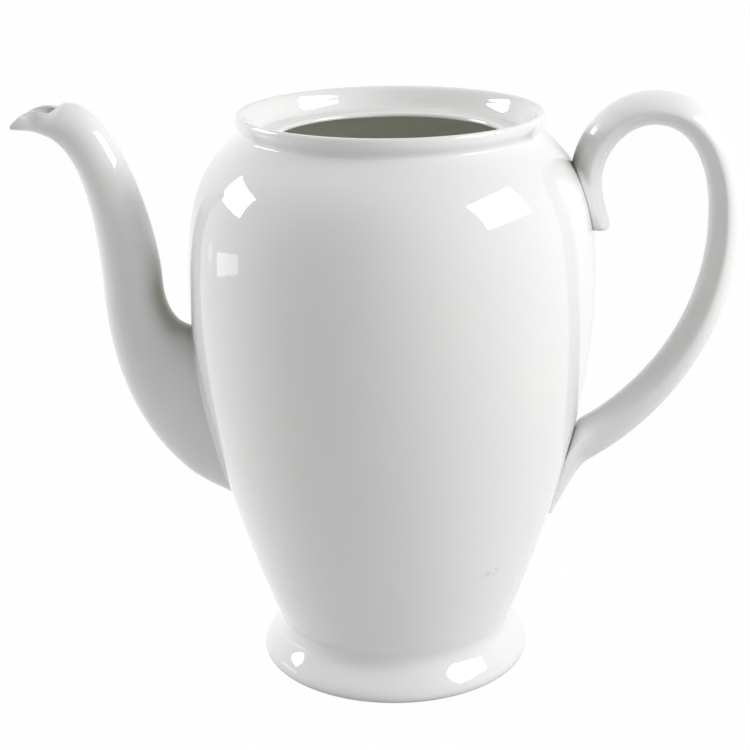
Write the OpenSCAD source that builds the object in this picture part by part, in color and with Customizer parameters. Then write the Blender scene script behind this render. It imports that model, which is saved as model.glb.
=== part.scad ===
// Open coffee pot in glazed porcelain: body, rim, foot ring, spout, handle and joining slip.
// Millimetres. The pot axis is Z, the table is z = 0, the spout points to -X and the handle to +X.

/* [Part to draw] */
// Sub-part to draw, or all of them.

/* [Body] */
// Radius of the body at its belly.
belly_r = 60.8; // [56:0.2:66]
// Height of the belly above the table.
belly_z = 118.4; // [112:0.2:124]
// Radius of the body where it stands on the foot ring.
waist_r = 36.2; // [33:0.1:40]
// Radius of the shoulder where the collar begins.
neck_r = 44.4; // [41:0.1:47]
// Height of the shoulder where the collar begins.
neck_z = 165.9; // [160:0.1:174]
// Wall thickness of the body.
body_wall = 3.2; // [2.6:0.1:4]
// Thickness of the floor of the body.
floor_t = 4; // [3:0.1:6]
// Blend between floor and wall inside the body.
floor_blend = 9; // [5:0.5:14]
// Pull of the flank curve below the belly.
flank_pull = 46; // [38:0.5:54]
// Pull of the shoulder curve above the belly.
belly_pull = 35.4; // [30:0.2:37]
// Pull of the shoulder curve at the collar.
neck_pull = 12; // [8:0.2:14]
// Slope of the shoulder at the collar, in degrees from horizontal.
neck_slope = 47; // [40:0.5:56]

/* [Foot ring] */
// Height of the foot ring.
foot_h = 11.5; // [8:0.1:15]
// Widest radius of the foot ring.
foot_r = 41.9; // [39:0.1:46]
// Height of the widest line of the foot ring.
foot_edge_z = 0.9; // [0.6:0.1:1.5]
// Rounding under the widest line of the foot ring.
foot_edge_r = 0.8; // [0.5:0.1:1.2]
// Width of the bare ring that touches the table.
foot_contact_w = 3.6; // [2.5:0.1:5]
// Height of the upright wall inside the foot ring.
well_h = 3.4; // [2.5:0.1:4]
// Wall thickness of the foot ring at its top.
foot_top_w = 3.8; // [3:0.1:5]

/* [Rim and lid gallery] */
// Height of the lip above the shoulder.
collar_h = 5.6; // [4:0.1:8]
// How far the rounded lip stands out beyond the shoulder.
lip_out = 0.75; // [0.4:0.05:1.5]
// Thickness of the lip.
lip_t = 2; // [1.6:0.1:3]
// Drop from the lip to the ledge that carries a lid.
gallery_drop = 6.5; // [5:0.1:8]
// Outer radius of the flat lid ledge.
ledge_r = 38.6; // [37:0.1:40]
// Radius of the open throat.
throat_r = 33; // [30:0.1:35]
// Thickness of the ledge.
ledge_t = 3.4; // [2.6:0.1:4]
// Rounding of the throat edge.
throat_edge_r = 1.1; // [0.6:0.1:1.3]

/* [Spout] */
// Height of the lower end of the spout root.
spout_root_low = 48.7; // [44:0.1:54]
// Height of the upper end of the spout root.
spout_root_high = 103.6; // [98:0.1:108]
// Width of the spout root across the pot.
spout_root_w = 25; // [21:0.1:30]
// Angle at which the underside leaves the body.
spout_low_angle = 20; // [12:0.5:28]
// Pull of the underside curve at the root.
spout_low_pull = 9.5; // [6:0.5:16]
// Angle at which the upper side leaves the body.
spout_high_angle = 12; // [4:0.5:24]
// Clear space between belly and spout at its middle.
spout_gap = 9.7; // [7:0.1:14]
// Depth of the tube at its middle.
spout_mid_d = 18.2; // [15:0.1:21]
// Width of the tube at its middle.
spout_mid_w = 16; // [13:0.1:19]
// Height of the middle of the tube.
spout_mid_z = 120; // [116:0.1:124]
// How far the lip reaches beyond the belly.
spout_reach = 53.4; // [48:0.1:60]
// Height of the top of the tube where the mouth opens.
mouth_z = 173.1; // [166:0.1:178]
// Length of the open pouring lip.
mouth_l = 17.6; // [14:0.1:22]
// Depth of the tube where the mouth opens.
mouth_d = 12; // [9:0.1:13]
// Width of the tube where the mouth opens.
mouth_w = 12.4; // [10:0.1:14]
// Angle from the top at which the open lip cuts through the side walls.
cut_angle = 66; // [60:1:74]
// Depth of the beak at its very tip.
tip_d = 3.1; // [2.4:0.1:3.6]
// Width of the beak at its very tip.
tip_w = 4; // [3.6:0.1:6]
// Drop from the top of the tube to the tip.
tip_drop = 5.2; // [3.5:0.1:7]
// Wall thickness of the spout at its root.
spout_wall = 2.8; // [2.2:0.1:3.4]
// Wall thickness of the spout at its lip.
lip_wall = 1.3; // [1.2:0.1:2]
// Radius of the pouring hole through the body wall.
pour_hole_r = 8.5; // [6:0.1:9]

/* [Handle] */
// How far the handle reaches beyond the belly.
handle_reach = 41.5; // [36:0.1:48]
// Height of the top of the handle.
handle_top_z = 177.5; // [172:0.1:184]
// Distance of the top of the handle from the pot axis.
handle_top_x = 76; // [72:0.1:80]
// Height at which the handle reaches farthest out.
handle_far_z = 139.5; // [134:0.1:144]
// Thickness of the strap along its bow.
strap_t = 9.7; // [8:0.1:11]
// Width of the strap along its bow.
strap_w = 18; // [14:0.1:20]
// Height of the end of the kicked upper tail.
tail_end_z = 137.2; // [133:0.1:140]
// Height from the kicked end to the place where the strap leaves the body.
tail_rise = 14.8; // [12:0.1:18]
// How far the kicked end stands off the body.
tail_kick = 5; // [4:0.1:7]
// Thickness of the strap where it lies on the body.
tail_t = 3.6; // [3:0.1:4.5]
// Width of the strap where it lies on the body.
tail_w = 13; // [10:0.1:14]
// Height at which the underside of the strap meets the lower tail.
root_low_z = 64.6; // [61:0.1:67]
// Height at which the upper side of the strap meets the body.
root_high_z = 77.2; // [75:0.1:80]
// Width of the strap at its lower root.
root_w = 14; // [11:0.1:16]
// Height of the lower end of the lower tail.
drop_end_z = 46.3; // [44:0.1:50]
// Sharpness of the side ridges of the strap.
ridge_power = 1.45; // [1:0.05:1.8]

/* [Joints] */
// Clearance between neighbouring faces that are joined.
joint_gap = 0.12; // [0.1:0.01:0.2]
// Thickness of the joining slip.
slip_t = 0.5; // [0.3:0.05:0.8]
// Width of the slip squeezed out around a joint.
slip_out = 1.2; // [0.6:0.1:2]
// How far the slip reaches above the place where the strap leaves the body.
slip_over = 6; // [3:0.1:8]
// Height of the slip squeezed out around the spout root.
slip_bead = 0.5; // [0.3:0.05:0.6]

/* [Smoothness] */
// Points round the spout.
spout_cols = 32; // [32:32:64]
// Points round the strap.
strap_cols = 20; // [16:4:28]
// Steps along one curve of the body outline.
body_steps = 18; // [12:1:24]

/* [Hidden] */
glaze = [0.93, 0.93, 0.92];
bare = [0.86, 0.85, 0.82];
slip_tint = [0.88, 0.87, 0.85];

// Point on a cubic curve with four control points.
function bez(p, t) =
    pow(1 - t, 3) * p[0]
    + 3 * pow(1 - t, 2) * t * p[1]
    + 3 * (1 - t) * t * t * p[2]
    + t * t * t * p[3];

// Direction of a cubic curve.
function bez_dir(p, t) =
    3 * pow(1 - t, 2) * (p[1] - p[0])
    + 6 * (1 - t) * t * (p[2] - p[1])
    + 3 * t * t * (p[3] - p[2]);

// Point on a chain of cubic curves; whole numbers of t are the joints.
function chain(c, t) =
    let (i = min(floor(t), len(c) - 1))
    bez(c[i], t - i);

// Smooth step between 0 and 1.
function ease(t) =
    let (u = max(0, min(1, t)))
    u * u * (3 - 2 * u);

// Unit vector in a profile plane.
function dir(a) = [cos(a), sin(a)];
function unit(v) = v / norm(v);

// --- body outline -------------------------------------------------------------
waist = [waist_r, foot_h];
belly = [belly_r, belly_z];
neck = [neck_r, neck_z];
flank = [waist, waist + 0.6 * dir(68), belly - [0, flank_pull], belly];
shoulder = [belly, belly + [0, belly_pull], neck - neck_pull * dir(180 - neck_slope), neck];
outline = [flank, shoulder];

outer_line = [for (i = [0 : 2 * body_steps]) chain(outline, i / body_steps)];
radius_table = [for (p = outer_line) [p[1], p[0]]];

// Radius of the outside of the body at height z.
function body_r(z) = lookup(z, radius_table);

// Stand-off of a fitted piece: the slip and the clearance on both its sides.
seat = 2 * joint_gap + slip_t;

// Distance from the pot's middle plane to a surface that far off the body, at (y, z).
function skin_x(y, z, off) = sqrt(pow(body_r(z) + off, 2) - y * y);

// Point on the inside of the body wall.
function inner_pt(t) =
    let (c = outline[min(floor(t), 1)])
    let (u = t - min(floor(t), 1))
    let (d = unit(bez_dir(c, u)))
    bez(c, u) + body_wall * [-d[1], d[0]];

floor_z = foot_h + floor_t;
inner_all = [for (i = [1 : 2 * body_steps]) inner_pt(i / body_steps)];
blend_top = floor_z + floor_blend;
inner_wall = [for (p = inner_all) if (p[1] > blend_top + 0.5) p];
inner_table = [for (p = inner_all) [p[1], p[0]]];
blend_r = lookup(blend_top, inner_table);
corner_r = lookup(floor_z, inner_table);
blend = [
    [corner_r - floor_blend, floor_z],
    [corner_r - floor_blend * 0.35, floor_z],
    [blend_r - 0.45 * floor_blend * 0.4, blend_top - 0.5 * floor_blend],
    [blend_r, blend_top]
];
blend_line = [for (i = [0 : 8]) bez(blend, i / 8)];
wall_end = inner_pt(2);

module body() {
    color(glaze)
    difference() {
        rotate_extrude()
        polygon(concat(
            [[0, foot_h]],
            outer_line,
            [for (i = [len(inner_wall) - 1 : -1 : 0]) inner_wall[i]],
            [for (i = [8 : -1 : 0]) blend_line[i]],
            [[0, floor_z]]
        ));
        translate([0, 0, pour_hole_z])
        rotate([0, -90, 0])
        cylinder(r = pour_hole_r, h = belly_r + 10);
    }
}

// --- rim ------------------------------------------------------------------------
lip_z = neck_z + collar_h;
lip_r = neck_r + lip_out;
ledge_z = lip_z - gallery_drop;
seam_dir = unit(neck - wall_end);
seam_step = joint_gap * [-seam_dir[1], seam_dir[0]];
collar_wave = [
    neck + seam_step,
    neck + seam_step + [-0.5, 1.2],
    [lip_r, lip_z - 3.6],
    [lip_r, lip_z - 2]
];
lip_round = [
    [lip_r, lip_z - 2],
    [lip_r, lip_z - 0.7],
    [lip_r - lip_t * 0.2, lip_z],
    [lip_r - lip_t * 0.55, lip_z]
];
gallery_curve = [
    [lip_r - lip_t * 0.55, lip_z],
    [lip_r - lip_t * 1.1, lip_z],
    [ledge_r + 0.6, ledge_z + 2.2],
    [ledge_r, ledge_z]
];
throat_mid = [throat_r + throat_edge_r, ledge_z - throat_edge_r];
throat_foot = [throat_r + 0.8, ledge_z - ledge_t];

module rim() {
    color(glaze)
    rotate_extrude()
    polygon(concat(
        [for (i = [0 : 7]) bez(collar_wave, i / 7)],
        [for (i = [1 : 5]) bez(lip_round, i / 5)],
        [for (i = [1 : 9]) bez(gallery_curve, i / 9)],
        [for (a = [90 : 15 : 180]) throat_mid + throat_edge_r * dir(a)],
        [[throat_r, ledge_z - ledge_t + 0.8]],
        [throat_foot],
        [wall_end + seam_step]
    ));
}

// --- foot ring ---------------------------------------------------------------------
foot_top = foot_h - joint_gap;
foot_flank = [
    [waist_r, foot_top],
    [waist_r + 0.3, foot_top - 2.9],
    [foot_r - 0.9, foot_edge_z + 2.5],
    [foot_r, foot_edge_z]
];
foot_in = foot_r - foot_edge_r - foot_contact_w;

module foot_ring() {
    color(bare)
    rotate_extrude()
    polygon(concat(
        [for (i = [0 : 10]) bez(foot_flank, i / 10)],
        [for (a = [-22.5 : -22.5 : -67.5]) [foot_r - foot_edge_r, foot_edge_z] + [foot_edge_r * cos(a), foot_edge_z * sin(a)]],
        [[foot_r - foot_edge_r, 0]],
        [[foot_in + 0.4, 0]],
        [[foot_in, 0.4]],
        [[foot_in, well_h]],
        [[waist_r - foot_top_w, foot_top - 2]],
        [[waist_r - foot_top_w, foot_top]]
    ));
}

// --- swept skins -----------------------------------------------------------------------
// Rings of equal length become a closed skin: a tube bent back on itself, or a capped tube.
module skin(rings, looped, flip) {
    n = len(rings);
    m = len(rings[0]);
    last = looped ? n - 1 : n - 2;
    sides = [
        for (i = [0 : last])
        for (j = [0 : m - 1])
        let (k = (i + 1) % n)
        let (l = (j + 1) % m)
        [i * m + j, i * m + l, k * m + l, k * m + j]
    ];
    caps = looped ? [] : [
        [for (j = [m - 1 : -1 : 0]) j],
        [for (j = [0 : m - 1]) (n - 1) * m + j]
    ];
    all = concat(sides, caps);
    faces = flip ? [for (f = all) [for (j = [len(f) - 1 : -1 : 0]) f[j]]] : all;
    polyhedron(points = [for (r = rings) for (p = r) p], faces = faces, convexity = 8);
}

// --- spout -------------------------------------------------------------------------------
spout_root_z = (spout_root_low + spout_root_high) / 2;
spout_root_hh = (spout_root_high - spout_root_low) / 2;
pour_hole_z = spout_root_z - 1;
mid_in = [belly_r + spout_gap, spout_mid_z];
mid_out = mid_in + [spout_mid_d, -2];
mouth_in = [belly_r + spout_reach - mouth_l, mouth_z];
mouth_out = mouth_in + mouth_d * dir(-59);
tip_in = [belly_r + spout_reach, mouth_z - tip_drop];
tip_out = tip_in - [0.1, tip_d];
low_foot = [body_r(spout_root_low) + seat, spout_root_low];
high_foot = [body_r(spout_root_high) + seat, spout_root_high];

spout_upper = [
    [high_foot, high_foot + 7.5 * dir(spout_high_angle), mid_in - [0, 8], mid_in],
    [mid_in, mid_in + [0.9, 18], mouth_in - [13.6, 0.2], mouth_in],
    [mouth_in, mouth_in + [2.7, -0.6], tip_in + [-7.6, 13.4], tip_in]
];
spout_lower = [
    [low_foot, low_foot + spout_low_pull * dir(spout_low_angle), mid_out - [0.6, 51], mid_out],
    [mid_out, mid_out + [1.3, 30.5], mouth_out - 7.5 * dir(28), mouth_out],
    [mouth_out, mouth_out + 5.4 * dir(21), tip_out + [-7.6, -0.4], tip_out]
];

// Half of the width of the tube along its course.
function spout_hw(t) =
    t < 1 ? (spout_root_w + (spout_mid_w - spout_root_w) * pow(ease(t), 0.8)) / 2
    : t < 2 ? (spout_mid_w + (mouth_w - spout_mid_w) * ease(t - 1)) / 2
    : (mouth_w + (tip_w - mouth_w) * pow(t - 2, 2.5)) / 2;

function spout_wall_at(t) = spout_wall + (lip_wall - spout_wall) * ease(t / 2.2);

// Where the wall ends, going round from the top (0) to the underside (180).
function mouth_end(a) =
    let (u = min(a, 360 - a))
    u < cut_angle ? 2.08 + 0.1 * pow(u / cut_angle, 2)
    : u < 92 ? 2.18 + 0.82 * pow((u - cut_angle) / (92 - cut_angle), 0.85)
    : 3;

// Point on the outside (side 0) or inside (side 1) of the tube.
function spout_pt(t, a, side) =
    let (hi = chain(spout_upper, t))
    let (lo = chain(spout_lower, t))
    let (mid = (hi + lo) / 2)
    let (h = norm(hi - lo) / 2)
    let (u = (hi - lo) / (2 * h))
    let (w = side * spout_wall_at(t))
    let (hh = max(h - w, 0.3 * h))
    let (hw = max(spout_hw(t) - w, 0.3 * spout_hw(t)))
    let (q = mid + hh * cos(a) * u)
    let (y = hw * sin(a))
    let (on = skin_x(y, q[1], seat))
    let (pull = pow(max(0, 1 - t / 0.35), 2))
    let (x = q[0] + (on - q[0]) * pull)
    [-max(x, t < 0.9 ? on : 0), y, q[1]];

spout_steps = [
    for (i = [0 : 11]) i / 12,
    for (i = [0 : 11]) 1 + i / 12,
    for (i = [0 : 9]) 2 + i / 9
];
// Angle of one column, with the columns close together where the side walls end.
function col_half(k) =
    k <= 0.3125 ? cut_angle * k / 0.3125
    : k <= 0.6875 ? cut_angle + (90 - cut_angle) * (k - 0.3125) / 0.375
    : 90 + 90 * (k - 0.6875) / 0.3125;
function col_angle(j) =
    let (k = 2 * j / spout_cols)
    k <= 1 ? col_half(k) : 360 - col_half(2 - k);

// Stretch the last steps so that every column ends at its own place.
function reach_t(t, end) = t < 1.5 ? t : 1.5 + (t - 1.5) * (end - 1.5) / 1.5;
function spout_ring(t, side, back) = [
    for (j = [0 : spout_cols - 1])
    let (a = col_angle(j))
    spout_pt(reach_t(t, mouth_end(a) - back), a, side)
];
// The lip is rounded between the outer and the inner end.
spout_lip = [
    for (j = [0 : spout_cols - 1])
    let (a = col_angle(j))
    let (e = mouth_end(a))
    let (o = spout_pt(e, a, 0))
    let (i = spout_pt(e - 0.02, a, 1))
    let (b = spout_pt(e - 0.08, a, 0))
    (o + i) / 2 + 0.35 * unit(o - b)
];

module spout() {
    color(glaze)
    skin(
        concat(
            [for (t = spout_steps) spout_ring(t, 0, 0)],
            [spout_lip],
            [for (i = [len(spout_steps) - 1 : -1 : 0]) spout_ring(spout_steps[i], 1, 0.02)]
        ),
        true,
        false
    );
}

// --- handle ----------------------------------------------------------------------------------
far_out = belly_r + handle_reach;
tail_r = body_r(tail_end_z);
arch_z = tail_end_z + tail_rise;
arch_out = [body_r(arch_z) - 3.3, arch_z];
arch_in = [body_r(arch_z) + seat + tail_t + 1.6, arch_z];
top_out = [handle_top_x, handle_top_z];
top_in = [handle_top_x + 0.2, handle_top_z - strap_t];
bow_out = [far_out, handle_far_z];
bow_in = [far_out - strap_t, handle_far_z + 0.4];
foot_out = [body_r(root_low_z) + 7.3, root_low_z];
foot_in_pt = [body_r(root_high_z) + 1.9, root_high_z];
drop_out = [body_r(drop_end_z) + seat + 0.5, drop_end_z];
drop_in = [body_r(drop_end_z + 1) - 2, drop_end_z + 1];

strap_outer = [
    [[tail_r - 2, tail_end_z], [tail_r - 3.4, tail_end_z + 6], arch_out - [-0.8, 6], arch_out],
    [arch_out, arch_out + [0, 14.5], top_out - [12.5, 0], top_out],
    [top_out, top_out + [15, 0], bow_out + [0, 25], bow_out],
    [bow_out, bow_out - [0, 28.2], foot_out + 32 * dir(32.5), foot_out],
    [foot_out, foot_out - 3.6 * dir(31), drop_out + 9 * dir(61), drop_out]
];
strap_inner = [
    [[tail_r + tail_kick, tail_end_z], [tail_r + tail_kick - 1.3, tail_end_z + 5], arch_in - [0, 6], arch_in],
    [arch_in, arch_in + [0, 6.2], top_in - [8.8, 0], top_in],
    [top_in, top_in + [9.9, 0], bow_in + [0, 17.6], bow_in],
    [bow_in, bow_in - [0, 22.3], foot_in_pt + 30 * dir(34.6), foot_in_pt],
    [foot_in_pt, foot_in_pt - 6 * dir(38), drop_in + 10 * dir(78), drop_in]
];

// Half of the width of the strap along its course.
function strap_hw(t) =
    t < 1 ? tail_w / 2
    : t < 2 ? (tail_w + (strap_w - tail_w) * ease(t - 1)) / 2
    : t < 3 ? strap_w / 2
    : t < 4 ? (strap_w + (root_w - strap_w) * ease(t - 3)) / 2
    : (root_w + (3 - root_w) * pow(t - 4, 0.8)) / 2;

// Where the side ridge lies between the inner (0) and the outer (1) face.
function ridge_at(t) =
    t < 1 ? 0.3
    : t < 2 ? 0.3 + 0.2 * ease(t - 1)
    : t < 4 ? 0.5
    : 0.5 + 0.1 * ease(t - 4);

function bulge(c) = sign(c) * pow(abs(c), ridge_power);

// One section of the strap; small is 1 for the full section.
function strap_ring(t, small) =
    let (pi_in = chain(strap_inner, t))
    let (pi_out = chain(strap_outer, t))
    let (m = ridge_at(t))
    let (c = pi_in + m * (pi_out - pi_in))
    [
        for (j = [0 : strap_cols - 1])
        let (a = 360 * j / strap_cols)
        let (b = bulge(cos(a)) * small)
        let (q = b > 0 ? c + b * (pi_in - c) : c - b * (pi_out - c))
        let (y = strap_hw(t) * sin(a) * small)
        [max(q[0], skin_x(y, q[1], seat)), y, q[1]]
    ];

strap_steps = [
    0.05,
    for (i = [1 : 8]) 0.05 + 0.95 * i / 9,
    for (i = [0 : 11]) 1 + i / 12,
    for (i = [0 : 9]) 2 + i / 10,
    for (i = [0 : 13]) 3 + i / 14,
    for (i = [0 : 11]) 4 + i / 11
];

module handle() {
    color(glaze)
    skin(
        concat(
            [strap_ring(0, 0.84)],
            [for (t = strap_steps) strap_ring(t, 1)]
        ),
        false,
        true
    );
}

// --- joining slip -------------------------------------------------------------------------------
// Slip between the spout root and the body, with a small bead outside.
function slip_edge(k) =
    k < 1 ? -spout_wall - 0.2
    : k < 2 ? -spout_wall * 0.4
    : k < 3 ? -0.1
    : k < 4 ? joint_gap + 0.15
    : k < 5 ? joint_gap + slip_out * 0.5
    : slip_out;
function slip_rise(k) = k < 4 ? slip_t : k < 5 ? slip_bead * 0.6 : 0.06;
function spout_slip_ring(k, top) = [
    for (j = [0 : 2 * spout_cols - 1])
    let (a = 180 * j / spout_cols)
    let (z = spout_root_z + (spout_root_hh + slip_edge(k)) * cos(a))
    let (y = (spout_root_w / 2 + slip_edge(k)) * sin(a))
    [-skin_x(y, z, joint_gap + (top ? slip_rise(k) : 0)), y, z]
];

module spout_slip() {
    color(slip_tint)
    skin(
        concat(
            [for (k = [0 : 5]) spout_slip_ring(k, true)],
            [for (k = [5 : -1 : 0]) spout_slip_ring(k, false)]
        ),
        true,
        true
    );
}

// Slip pads under the two ends of the handle: z range, half width, and how pointed the low end is.
pad_cols = 28;
function pad_ring(z0, z1, hw, point, r, top) = [
    for (j = [0 : pad_cols - 1])
    let (a = 360 * j / pad_cols)
    let (zc = z0 + (z1 - z0) * (0.5 + 0.2 * point))
    let (half = cos(a) > 0 ? z1 - zc : zc - z0)
    let (z = zc + r * half * cos(a))
    let (thin = 1 - point * 0.55 * max(0, -cos(a)))
    let (y = r * hw * thin * sin(a))
    [skin_x(y, z, joint_gap + (top ? slip_t * (r > 0.99 ? 0.15 : 1) : 0)), y, z]
];
pad_radii = [0.12, 0.3, 0.48, 0.66, 0.84, 1];

module pad(z0, z1, hw, point) {
    color(slip_tint)
    skin(
        concat(
            [for (r = pad_radii) pad_ring(z0, z1, hw, point, r, false)],
            [for (i = [5 : -1 : 0]) pad_ring(z0, z1, hw, point, pad_radii[i], true)]
        ),
        false,
        false
    );
}

module upper_slip() {
    pad(tail_end_z - slip_out / 2, arch_z + slip_over, tail_w / 2 - 0.4, 0);
}

module lower_slip() {
    pad(drop_end_z - slip_out / 2, root_high_z + slip_out / 2, root_w / 2 - 0.4, 1);
}

body();
rim();
foot_ring();
spout();
handle();
spout_slip();
upper_slip();
lower_slip();
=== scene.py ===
"""Looks of an open coffee pot in white glazed porcelain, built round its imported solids.

The pot axis is Z and the table is z = 0. The spout points to -X and the handle to +X.
Profiles are worked out in millimetres and turned into metres when a mesh is made.
"""

import logging
import math
from bisect import bisect_left
from collections.abc import Sequence
from dataclasses import dataclass, field
from enum import Enum

import bmesh
import bpy
from mathutils import Matrix, Vector


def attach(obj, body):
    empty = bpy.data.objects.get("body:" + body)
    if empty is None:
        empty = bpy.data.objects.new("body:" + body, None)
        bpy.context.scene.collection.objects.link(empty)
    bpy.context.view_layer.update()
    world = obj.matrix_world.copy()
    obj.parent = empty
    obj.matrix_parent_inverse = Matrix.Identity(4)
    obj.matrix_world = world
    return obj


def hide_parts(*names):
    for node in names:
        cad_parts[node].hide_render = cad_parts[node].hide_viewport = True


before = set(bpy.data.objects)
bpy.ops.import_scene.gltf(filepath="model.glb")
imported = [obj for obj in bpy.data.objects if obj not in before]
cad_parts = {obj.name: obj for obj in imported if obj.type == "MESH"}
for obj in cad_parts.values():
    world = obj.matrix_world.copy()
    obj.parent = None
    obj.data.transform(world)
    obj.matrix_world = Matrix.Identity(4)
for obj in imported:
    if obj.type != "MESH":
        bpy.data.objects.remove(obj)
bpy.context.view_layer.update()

MM = 0.001
SAME_POINT = 1e-7
SHORT_EDGE = 1e-8
TIP_SHARE = 0.002
log = logging.getLogger("coffee_pot")

Ring = list[Vector]
Colour = tuple[float, float, float]
Pair = tuple[float, float]
WHITE: Colour = (0.8, 0.8, 0.79)
SHADE: Colour = (0.77, 0.775, 0.77)
# Painted light: a lighter copy of the white glaze, which brightens the handle.
LIT_WHITE: Colour = (0.82, 0.82, 0.81)
LIT_WHITE_SHADE: Colour = (0.79, 0.795, 0.79)
IVORY: Colour = (0.86, 0.86, 0.775)
IVORY_SHADE: Colour = (0.83, 0.83, 0.745)


# --- curves ------------------------------------------------------------------------------


def polar(angle: float) -> Vector:
    """Unit vector of a profile plane at an angle in degrees."""
    return Vector((math.cos(math.radians(angle)), math.sin(math.radians(angle))))


def ease(t: float) -> float:
    """Smooth step between 0 and 1."""
    u = min(max(t, 0.0), 1.0)
    return u * u * (3 - 2 * u)


def mix(a: Vector, b: Vector, share: float) -> Vector:
    """Point that lies share of the way from a to b."""
    return a + (b - a) * share


@dataclass(frozen=True)
class Cubic:
    """A cubic curve with four control points."""

    points: tuple[Vector, Vector, Vector, Vector]

    def at(self, t: float) -> Vector:
        """Point at t, from 0 to 1."""
        p, s = self.points, 1 - t
        return s**3 * p[0] + 3 * s * s * t * p[1] + 3 * s * t * t * p[2] + t**3 * p[3]

    def slope(self, t: float) -> Vector:
        """Direction of the curve at t, from 0 to 1."""
        p, s = self.points, 1 - t
        return 3 * s * s * (p[1] - p[0]) + 6 * s * t * (p[2] - p[1]) + 3 * t * t * (p[3] - p[2])


@dataclass(frozen=True)
class Rail:
    """Cubic curves end to end; whole numbers of t are the places where two of them meet."""

    curves: tuple[Cubic, ...]

    def at(self, t: float) -> Vector:
        """Point at t, from 0 to the number of curves."""
        i = min(int(t), len(self.curves) - 1)
        return self.curves[i].at(t - i)


def cubic(a: Vector, b: Vector, c: Vector, d: Vector) -> Cubic:
    """A cubic curve from its four control points."""
    return Cubic((a, b, c, d))


def steps(curve: Cubic, count: int, first: int = 0) -> list[Vector]:
    """Points along a curve, its end included.

    Args:
        curve: The curve to walk.
        count: Number of steps from end to end.
        first: Step to start from; 1 leaves out the point that the line before it gave.

    Returns:
        The points, from the start of the curve to its end.
    """
    return [curve.at(i / count) for i in range(first, count + 1)]


# --- meshes ------------------------------------------------------------------------------


def skin(name: str, rings: Sequence[Ring], closed_along: bool) -> bpy.types.Object:
    """A smooth mesh through rings of equal length.

    Args:
        name: Name of the new piece.
        rings: Rings of points in millimetres, each closed on itself.
        closed_along: True where the last ring joins the first.

    Returns:
        The new object, in the scene.
    """
    mesh = bpy.data.meshes.new(name)
    count = len(rings[0])
    points = [point * MM for ring in rings for point in ring]
    last = len(rings) if closed_along else len(rings) - 1
    faces = []
    for i in range(last):
        k = (i + 1) % len(rings)
        for j in range(count):
            m = (j + 1) % count
            faces.append((i * count + j, i * count + m, k * count + m, k * count + j))
    mesh.from_pydata(points, [], faces)
    work = bmesh.new()
    work.from_mesh(mesh)
    bmesh.ops.remove_doubles(work, verts=work.verts, dist=SAME_POINT)
    bmesh.ops.dissolve_degenerate(work, edges=work.edges, dist=SHORT_EDGE)
    bmesh.ops.recalc_face_normals(work, faces=work.faces)
    work.to_mesh(mesh)
    work.free()
    mesh.shade_smooth()
    piece = bpy.data.objects.new(name, mesh)
    bpy.context.scene.collection.objects.link(piece)
    return piece


def turned(name: str, line: Sequence[Vector], segments: int, closed: bool) -> bpy.types.Object:
    """A piece turned round the pot axis.

    Args:
        name: Name of the new piece.
        line: Profile points as (radius, height), in millimetres.
        segments: Number of steps round the axis.
        closed: True where the last point joins the first, False where both lie on the axis.

    Returns:
        The new object, in the scene.
    """
    turns = [2 * math.pi * i / segments for i in range(segments)]
    rings = [[Vector((p.x * math.cos(a), p.x * math.sin(a), p.y)) for a in turns] for p in line]
    return skin(name, rings, closed)


def rounded_end(ring: Ring, steps_in: int = 4) -> list[Ring]:
    """Rings that close a tube's end, from nearly nothing out to the ring's own size.

    Args:
        ring: The full ring at the end of the tube.
        steps_in: Number of rings between the middle and the full ring.

    Returns:
        The rings, the smallest first and without the full ring.
    """
    middle = sum(ring, Vector((0, 0, 0))) / len(ring)
    shares = [TIP_SHARE + (1 - TIP_SHARE) * i / steps_in for i in range(steps_in)]
    return [[mix(middle, p, s) for p in ring] for s in shares]


# --- finishes ----------------------------------------------------------------------------


@dataclass(frozen=True)
class Pattern:
    """A noise, and the two of its values between which it goes from nothing to all."""

    scale: float
    detail: float
    low: float
    high: float


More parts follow.
